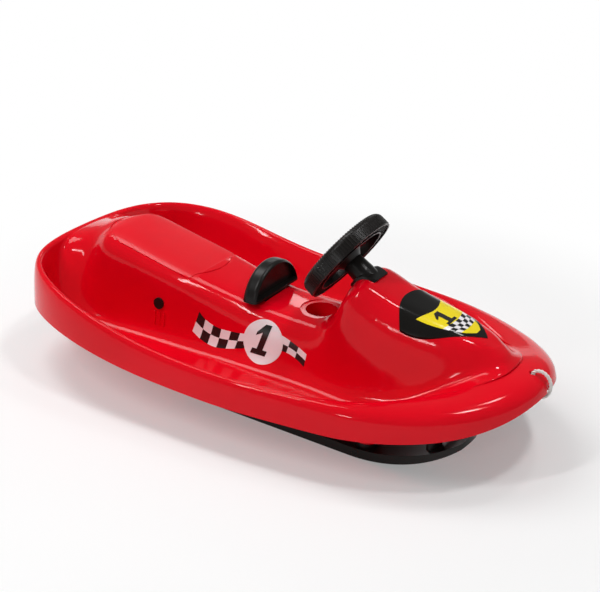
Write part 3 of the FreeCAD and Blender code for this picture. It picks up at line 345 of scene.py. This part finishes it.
black_plastic, film_black, steel, rope_white, print_white, print_black, print_yellow = (
    moulded(name, *row) for name, row in FINISHES.items())
for finish in (black_plastic, film_black):
    finish.node_tree.nodes["Principled BSDF"].inputs["IOR"].default_value = DARK_IOR
steel.node_tree.nodes["Principled BSDF"].inputs["Metallic"].default_value = 1.0
slot_finishes = {"red_plastic": red_plastic, "black_plastic": black_plastic, "shield_film": film_black,
                 "steel": steel, "rope": rope_white}
for entry in frame["record"]["subparts"]:
    target = nodes[entry["node"]]
    target.data.materials.clear()
    target.data.materials.append(slot_finishes[entry["material_slot"]])
print("finishes:", ", ".join(slot_finishes))

# %% [markdown]
# ## Tow loop
# A short white rope comes up through the hole in the nose deck, goes over the notch in the lip and back under
# the deck to its knot. The route's points are the control points of one NURBS spline, which bends as rope does.

# %% Rope line
ROPE_ROUTE = [(0.4500, 0, 0.1520), (0.4510, 0, 0.1610), (0.4680, 0, 0.1630), (0.4820, 0, 0.1480),
              (0.4800, 0, 0.1240), (0.4630, 0, 0.1150), (0.4545, 0, 0.1335)]
ROPE_STEPS = 16


def spline_points(name, route):
    line = bpy.data.curves.new(name, "CURVE")
    line.dimensions = "3D"
    spline = line.splines.new("NURBS")
    spline.points.add(len(route) - 1)
    for point, place in zip(spline.points, route):
        point.co = (*place, 1)
    spline.order_u = 3
    spline.use_endpoint_u = True
    spline.resolution_u = ROPE_STEPS
    carrier = bpy.data.objects.new(name, line)
    scene.collection.objects.link(carrier)
    bpy.context.view_layer.update()
    traced = bpy.data.meshes.new_from_object(carrier)
    points = [vertex.co.copy() for vertex in traced.vertices]
    bpy.data.objects.remove(carrier)
    bpy.data.curves.remove(line)
    bpy.data.meshes.remove(traced)
    return points


rope_points = spline_points("tow_rope_line", ROPE_ROUTE)
rope_length = sum((b - a).length for a, b in zip(rope_points, rope_points[1:]))
print("tow loop:", len(rope_points), "points,", round(rope_length * 1000, 1), "mm")

# %% [markdown]
# A plain tube would look like wire. Three strands are wound along the points read from the spline instead, so
# the lay of the rope is real. A strand is a row of rings, and a second helper joins rings into a closed tube.

# %% Strand helpers
STRANDS, STRAND_SIDES, ROPE_PITCH = 3, 8, 0.017
STRAND_OFFSET, STRAND_RADIUS = 0.00155, 0.00145
SIDEWAYS = Vector((0, 1, 0))


def circle(centre, first, second, radius, sides):
    angles = [2 * math.pi * k / sides for k in range(sides)]
    return [centre + (first * math.cos(angle) + second * math.sin(angle)) * radius for angle in angles]


def strand_rings(points, strand):
    walked = 0.0
    rings = []
    for i, point in enumerate(points):
        before, after = points[max(i - 1, 0)], points[min(i + 1, len(points) - 1)]
        walked += (point - before).length
        outward = (after - before).normalized().cross(SIDEWAYS)
        turn = 2 * math.pi * (walked / ROPE_PITCH + strand / STRANDS)
        centre = point + (SIDEWAYS * math.cos(turn) + outward * math.sin(turn)) * STRAND_OFFSET
        rings.append(circle(centre, SIDEWAYS, outward, STRAND_RADIUS, STRAND_SIDES))
    return rings


def mesh_of_tubes(name, tubes):
    corners, faces = [], []
    for rings in tubes:
        start, sides = len(corners), len(rings[0])
        corners += [corner for ring in rings for corner in ring]
        for i in range(len(rings) - 1):
            for k in range(sides):
                a, b = start + i * sides + k, start + i * sides + (k + 1) % sides
                faces.append((a, b, b + sides, a + sides))
        last = start + (len(rings) - 1) * sides
        faces += [tuple(range(start + sides - 1, start - 1, -1)), tuple(range(last, last + sides))]
    mesh = bpy.data.meshes.new(name)
    mesh.from_pydata(corners, [], faces)
    piece = bpy.data.objects.new(name, mesh)
    scene.collection.objects.link(piece)
    return piece


# %% Rope strands
ROPE_CREASE = math.radians(60)


def activate(piece):
    deselect()
    piece.select_set(True)
    bpy.context.view_layer.objects.active = piece


def outward_faces(piece):
    activate(piece)
    bpy.ops.object.mode_set(mode="EDIT")
    bpy.ops.mesh.select_all(action="SELECT")
    bpy.ops.mesh.normals_make_consistent(inside=False)
    bpy.ops.object.mode_set(mode="OBJECT")


tow_loop = mesh_of_tubes("tow_loop", [strand_rings(rope_points, k) for k in range(STRANDS)])
outward_faces(tow_loop)
bpy.ops.object.shade_smooth_by_angle(angle=ROPE_CREASE)
tow_loop.data.materials.append(rope_white)
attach(tow_loop, "tub")
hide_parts("tow_rope")
print("tow loop strands:", len(tow_loop.data.polygons), "faces")

# %% [markdown]
# The rope's two ends meet in a tight knot under the deck. A trefoil is the line that an overhand knot makes;
# drawn small and thick it closes up into a lump, which is what a pulled knot looks like.

# %% Rope knot
KNOT_CENTRE = (Vector(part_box("rope_knot")[0]) + Vector(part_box("rope_knot")[1])) / 2
KNOT_STEP, KNOT_LIFT, KNOT_POINTS = 0.0019, 1.6, 72
KNOT_THICK, KNOT_ROUNDING = 0.0027, 3
knot_line = bpy.data.curves.new("rope_knot_line", "CURVE")
knot_line.dimensions = "3D"
knot_line.bevel_depth = KNOT_THICK
knot_line.bevel_resolution = KNOT_ROUNDING
winding = knot_line.splines.new("POLY")
winding.points.add(KNOT_POINTS - 1)
for k, point in enumerate(winding.points):
    t = 2 * math.pi * k / KNOT_POINTS
    bend = Vector((math.sin(t) + 2 * math.sin(2 * t), math.cos(t) - 2 * math.cos(2 * t),
                   -KNOT_LIFT * math.sin(3 * t)))
    point.co = (*(KNOT_CENTRE + bend * KNOT_STEP), 1)
winding.use_cyclic_u = True
overhand_knot = bpy.data.objects.new("overhand_knot", knot_line)
scene.collection.objects.link(overhand_knot)
activate(overhand_knot)
bpy.ops.object.convert(target="MESH")
overhand_knot = bpy.context.object
bpy.ops.object.shade_smooth()
overhand_knot.data.materials.clear()
overhand_knot.data.materials.append(rope_white)
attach(overhand_knot, "tub")
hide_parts("rope_knot")
print("knot:", [round(v * 1000, 1) for v in overhand_knot.dimensions], "mm")

# %% [markdown]
# ## Printed films
# A black and white band with a plain number runs along each side of the seat mound, and a yellow print lies on
# the windshield. They are thin films that follow the skin. Each starts flat, as a grid or a disc, is projected
# onto the skin by a Shrinkwrap modifier and gets a film's thickness from Solidify. The squares are faces with
# their own material, so their edges stay sharp at any distance.

# %% Film helpers
FILM_PROUD, FILM_THICK = 0.0003, 0.0006
FILM_CREASE = math.radians(40)
FILM_LEVELS = 3


def apply_modifier(piece, kind, **settings):
    activate(piece)
    item = piece.modifiers.new(kind.lower(), kind)
    for name, value in settings.items():
        setattr(item, name, value)
    bpy.ops.object.modifier_apply(modifier=item.name)


def lay_film(piece, carrier, axis, positive, proud=FILM_PROUD, thick=FILM_THICK):
    apply_modifier(piece, "SHRINKWRAP", target=carrier, wrap_method="PROJECT", wrap_mode="ABOVE_SURFACE",
                   use_project_x=False, use_project_y=axis == "Y", use_project_z=axis == "Z",
                   use_positive_direction=positive, use_negative_direction=not positive, offset=proud)
    outward_faces(piece)
    apply_modifier(piece, "SOLIDIFY", thickness=thick, offset=-1.0)
    bpy.ops.object.shade_smooth_by_angle(angle=FILM_CREASE)
    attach(piece, "tub")


def flat_grid(name, columns, rows):
    deselect()
    bpy.ops.mesh.primitive_grid_add(x_subdivisions=columns, y_subdivisions=rows, size=2)
    piece = bpy.context.object
    piece.name = name
    return piece


def grid_place(vertex, columns, rows):
    return round((vertex.co.x + 1) / 2 * columns), round((vertex.co.y + 1) / 2 * rows)


def finer(piece):
    apply_modifier(piece, "SUBSURF", levels=FILM_LEVELS, render_levels=FILM_LEVELS,
                   boundary_smooth="PRESERVE_CORNERS")


# %% [markdown]
# Each side band is two rows of squares, one stretch behind the roundel and one ahead of it. It waves like a flag,
# so its lower and upper edges are given as points in side view, in the same number. The grid starts well outside
# the mound and is projected inwards.

# %% Side bands
SIDES = ((1, "left"), (-1, "right"))
SIDE_START = 0.16
BAND_ROWS = 2
BAND_BEHIND = ([(-0.141, 0.094), (-0.123, 0.084), (-0.106, 0.080), (-0.086, 0.078), (-0.067, 0.081),
                (-0.050, 0.085), (-0.032, 0.090)],
               [(-0.130, 0.132), (-0.117, 0.120), (-0.099, 0.114), (-0.083, 0.111), (-0.062, 0.112),
                (-0.044, 0.113), (-0.026, 0.116)])
BAND_AHEAD = ([(0.036, 0.104), (0.051, 0.105), (0.070, 0.101), (0.090, 0.091)],
              [(0.038, 0.129), (0.055, 0.125), (0.073, 0.119), (0.091, 0.112)])


def side_band(name, edges, side, first, second):
    low, high = edges
    columns = len(low) - 1
    piece = flat_grid(name, columns, BAND_ROWS)
    for vertex in piece.data.vertices:
        column, row = grid_place(vertex, columns, BAND_ROWS)
        spot = Vector(low[column]).lerp(Vector(high[column]), row / BAND_ROWS)
        vertex.co = (spot.x, side * SIDE_START, spot.y)
    piece.data.materials.append(first)
    piece.data.materials.append(second)
    for face in piece.data.polygons:
        face.material_index = (face.index % columns + face.index // columns) % 2
    finer(piece)
    lay_film(piece, nodes["tub"], "Y", side < 0)


for side, hand in SIDES:
    side_band(hand + "_band_behind", BAND_BEHIND, side, print_white, print_black)
    side_band(hand + "_band_ahead", BAND_AHEAD, side, print_black, print_white)
print("side bands:", len(BAND_BEHIND[0]) - 1, "and", len(BAND_AHEAD[0]) - 1, "columns")

# %% [markdown]
# The roundel covers the gap between the two bands. It is a disc cut into rings by repeated insets, so that it
# has enough faces to bend over the mound's shoulder.

# %% Roundels
ROUNDEL_CENTRE = (0.0035, 0.110)
ROUNDEL_RADIUS, ROUNDEL_SQUASH = 0.0395, 0.92
ROUNDEL_SIDES, ROUNDEL_RINGS = 64, 7


def roundel(name, side):
    deselect()
    bpy.ops.mesh.primitive_circle_add(vertices=ROUNDEL_SIDES, radius=ROUNDEL_RADIUS, fill_type="NGON")
    piece = bpy.context.object
    piece.name = name
    bpy.ops.object.mode_set(mode="EDIT")
    bpy.ops.mesh.select_all(action="SELECT")
    for ring in range(ROUNDEL_RINGS - 1):
        bpy.ops.mesh.inset(thickness=ROUNDEL_RADIUS / ROUNDEL_RINGS, depth=0)
    bpy.ops.mesh.poke()
    bpy.ops.object.mode_set(mode="OBJECT")
    for vertex in piece.data.vertices:
        x, y = vertex.co.x, vertex.co.y
        vertex.co = (ROUNDEL_CENTRE[0] + x, side * SIDE_START, ROUNDEL_CENTRE[1] + y * ROUNDEL_SQUASH)
    piece.data.materials.append(print_white)
    lay_film(piece, nodes["tub"], "Y", side < 0, proud=2 * FILM_PROUD, thick=FILM_THICK + FILM_PROUD)


for side, hand in SIDES:
    roundel(hand + "_roundel", side)
print("roundels:", round(2000 * ROUNDEL_RADIUS), "mm")

# %% [markdown]
# The number is a plain slab one. It is drawn once, flat, on a three by three grid whose unused cells are
# deleted: a foot, a stem and a flag. Each use is a copy with its own mesh, laid on its film.

# %% Number
NUMBER_CELLS, NUMBER_UNUSED, NUMBER_CUTS = 3, (3, 5, 8), 5
NUMBER_HEIGHT = 0.052
NUMBER_ROWS = [[(-0.015, 0), (-0.006, 0), (0.006, 0), (0.015, 0)],
               [(-0.015, 0.009), (-0.006, 0.009), (0.006, 0.009), (0.015, 0.009)],
               [(-0.017, 0.031), (-0.006, 0.038), (0.006, 0.038), (0.015, 0.038)],
               [(-0.017, 0.037), (-0.006, 0.052), (0.006, 0.052), (0.015, 0.052)]]
number_flat = flat_grid("number_flat", NUMBER_CELLS, NUMBER_CELLS)
for vertex in number_flat.data.vertices:
    column, row = grid_place(vertex, NUMBER_CELLS, NUMBER_CELLS)
    vertex.co = (*NUMBER_ROWS[row][column], 0)
bpy.ops.object.mode_set(mode="EDIT")
bpy.ops.mesh.select_mode(type="FACE")
bpy.ops.mesh.select_all(action="DESELECT")
bpy.ops.object.mode_set(mode="OBJECT")
for face in number_flat.data.polygons:
    face.select = face.index in NUMBER_UNUSED
bpy.ops.object.mode_set(mode="EDIT")
bpy.ops.mesh.delete(type="FACE")
bpy.ops.mesh.select_all(action="SELECT")
bpy.ops.mesh.subdivide(number_cuts=NUMBER_CUTS)
bpy.ops.object.mode_set(mode="OBJECT")
number_flat.data.materials.append(print_black)
print("flat number:", len(number_flat.data.polygons), "faces")

# %% [markdown]
# On the roundels the number leans a little, as if moving forwards. The place function turns the flat drawing's
# x and y into a point outside the mound, from which it is projected like the other films.

# %% Side numbers
NUMBER_LEAN = 0.24
NUMBER_RAISE = 0.003


def number_on(name, place, carrier, axis, positive, proud, lean):
    piece = number_flat.copy()
    piece.data = number_flat.data.copy()
    piece.name = name
    scene.collection.objects.link(piece)
    for vertex in piece.data.vertices:
        x, y = vertex.co.x, vertex.co.y
        vertex.co = place(x + lean * (y - NUMBER_HEIGHT / 2), y - NUMBER_HEIGHT / 2)
    lay_film(piece, carrier, axis, positive, proud=proud, thick=FILM_THICK + proud)


def beside_mound(side):
    def place(x, y):
        return ROUNDEL_CENTRE[0] - side * x, side * SIDE_START, ROUNDEL_CENTRE[1] + NUMBER_RAISE + y
    return place


for side, hand in SIDES:
    number_on(hand + "_number", beside_mound(side), nodes["tub"], "Y", side < 0, 3 * FILM_PROUD, NUMBER_LEAN)
print("side numbers:", round(1000 * NUMBER_HEIGHT), "mm tall")

# %% [markdown]
# The windshield's print narrows towards the nose like the panel it lies on. Three columns of its grid make a
# checkered band, and the rest is plain yellow. It starts above the hood and is projected down.

# %% Windshield print
SHIELD_START = 0.26
SHIELD_REAR, SHIELD_BOW, SHIELD_TIP, SHIELD_HALF = 0.281, 0.013, 0.356, 0.043
SHIELD_COLUMNS, SHIELD_ROWS = 10, 7
SHIELD_BAND = (5, 6, 7)
SHIELD_TAPER, SHIELD_END = 1.75, 0.985
shield_print = flat_grid("shield_print", SHIELD_COLUMNS, SHIELD_ROWS)
for vertex in shield_print.data.vertices:
    column, row = grid_place(vertex, SHIELD_COLUMNS, SHIELD_ROWS)
    u, v = column / SHIELD_COLUMNS, 2 * row / SHIELD_ROWS - 1
    rear = SHIELD_REAR - SHIELD_BOW * v * v
    half = SHIELD_HALF * math.sqrt(1 - (u * SHIELD_END) ** SHIELD_TAPER)
    vertex.co = (rear + (SHIELD_TIP - rear) * u, half * v, SHIELD_START)
for finish in (print_yellow, print_black, print_white):
    shield_print.data.materials.append(finish)
for face in shield_print.data.polygons:
    column, row = face.index % SHIELD_COLUMNS, face.index // SHIELD_COLUMNS
    if column in SHIELD_BAND:
        face.material_index = 1 + (column + row) % 2
finer(shield_print)
lay_film(shield_print, nodes["windshield_panel"], "Z", False)
print("shield print:", len(shield_print.data.polygons), "faces")

# %% [markdown]
# The windshield carries the same number, upright and smaller, with its foot towards the nose. After this last
# copy the flat drawing is no longer needed.

# %% Windshield number
SHIELD_NUMBER = (0.3005, -0.009)
SHIELD_NUMBER_SCALE = (0.95, 0.60)


def above_shield(x, y):
    wide, tall = SHIELD_NUMBER_SCALE
    return SHIELD_NUMBER[0] - y * tall, SHIELD_NUMBER[1] + x * wide, SHIELD_START


number_on("shield_number", above_shield, nodes["windshield_panel"], "Z", False, 2 * FILM_PROUD, 0)
bpy.data.objects.remove(number_flat)
print("shield number:", round(1000 * NUMBER_HEIGHT * SHIELD_NUMBER_SCALE[1]), "mm tall")

# %% [markdown]
# ## Axle pads
# Under each axle plug the moulding is stiffened by three short upright ribs. They are narrow grids laid on the
# skin like the films, only thicker.

# %% Axle ribs
RIB_PLACES = (-0.2255, -0.2150, -0.2045)
RIB_LOW, RIB_HIGH, RIB_WIDTH, RIB_PROUD = 0.086, 0.112, 0.0032, 0.0020
RIB_COLUMNS, RIB_ROWS = 2, 8
RIB_BEVEL, RIB_BEVEL_STEPS = 0.0006, 2
for side, hand in SIDES:
    for number, middle in enumerate(RIB_PLACES, 1):
        rib = flat_grid("%s_axle_rib_%d" % (hand, number), RIB_COLUMNS, RIB_ROWS)
        for vertex in rib.data.vertices:
            x, y = vertex.co.x, vertex.co.y
            height = RIB_LOW + (RIB_HIGH - RIB_LOW) * (y + 1) / 2
            vertex.co = (middle + x * RIB_WIDTH / 2, side * SIDE_START, height)
        rib.data.materials.append(red_plastic)
        lay_film(rib, nodes["tub"], "Y", side < 0, proud=RIB_PROUD, thick=2 * RIB_PROUD)
        apply_modifier(rib, "BEVEL", width=RIB_BEVEL, segments=RIB_BEVEL_STEPS)
print("axle ribs:", 2 * len(RIB_PLACES))

# %% [markdown]
# ## Wheel grip
# The rim's outer edge has a row of small grip ribs. Each rib is a thin tube that climbs the rim's outer wall and
# bends over its rounded top. The wheel leans back, so the points are set out in the wheel's own three directions.

# %% Grip line
WHEEL_CENTRE = Vector((0.113, 0, 0.270))
WHEEL_TILT = math.radians(55)
RIM_OUT, RIM_ROUND, RIM_SPRING, RIM_FOOT = 0.085, 0.011, 0.003, -0.0115
GRIP_BEND, GRIP_STEPS = math.radians(70), 6
wheel_x = Vector((math.cos(WHEEL_TILT), 0, math.sin(WHEEL_TILT)))
wheel_z = Vector((-math.sin(WHEEL_TILT), 0, math.cos(WHEEL_TILT)))
rib_line = [(RIM_OUT, RIM_FOOT), (RIM_OUT, RIM_SPRING)]
for step in range(1, GRIP_STEPS + 1):
    bend = GRIP_BEND * step / GRIP_STEPS
    rib_line.append((RIM_OUT - RIM_ROUND * (1 - math.cos(bend)), RIM_SPRING + RIM_ROUND * math.sin(bend)))
print("grip line:", len(rib_line), "points")

# %% Wheel grip
GRIP_COUNT, GRIP_RADIUS, GRIP_SIDES = 96, 0.0011, 6
GRIP_CREASE = math.radians(50)


def rib_rings(angle):
    outward = wheel_x * math.cos(angle) + SIDEWAYS * math.sin(angle)
    around = wheel_z.cross(outward)
    rings = []
    for i, (reach, height) in enumerate(rib_line):
        before, after = rib_line[max(i - 1, 0)], rib_line[min(i + 1, len(rib_line) - 1)]
        along = outward * (after[0] - before[0]) + wheel_z * (after[1] - before[1])
        raised = around.cross(along.normalized())
        centre = WHEEL_CENTRE + outward * reach + wheel_z * height
        rings.append(circle(centre, around, raised, GRIP_RADIUS, GRIP_SIDES))
    return rings


wheel_grip = mesh_of_tubes("wheel_grip", [rib_rings(2 * math.pi * k / GRIP_COUNT) for k in range(GRIP_COUNT)])
outward_faces(wheel_grip)
bpy.ops.object.shade_smooth_by_angle(angle=GRIP_CREASE)
wheel_grip.data.materials.append(black_plastic)
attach(wheel_grip, "steering")
print("wheel grip:", GRIP_COUNT, "ribs")
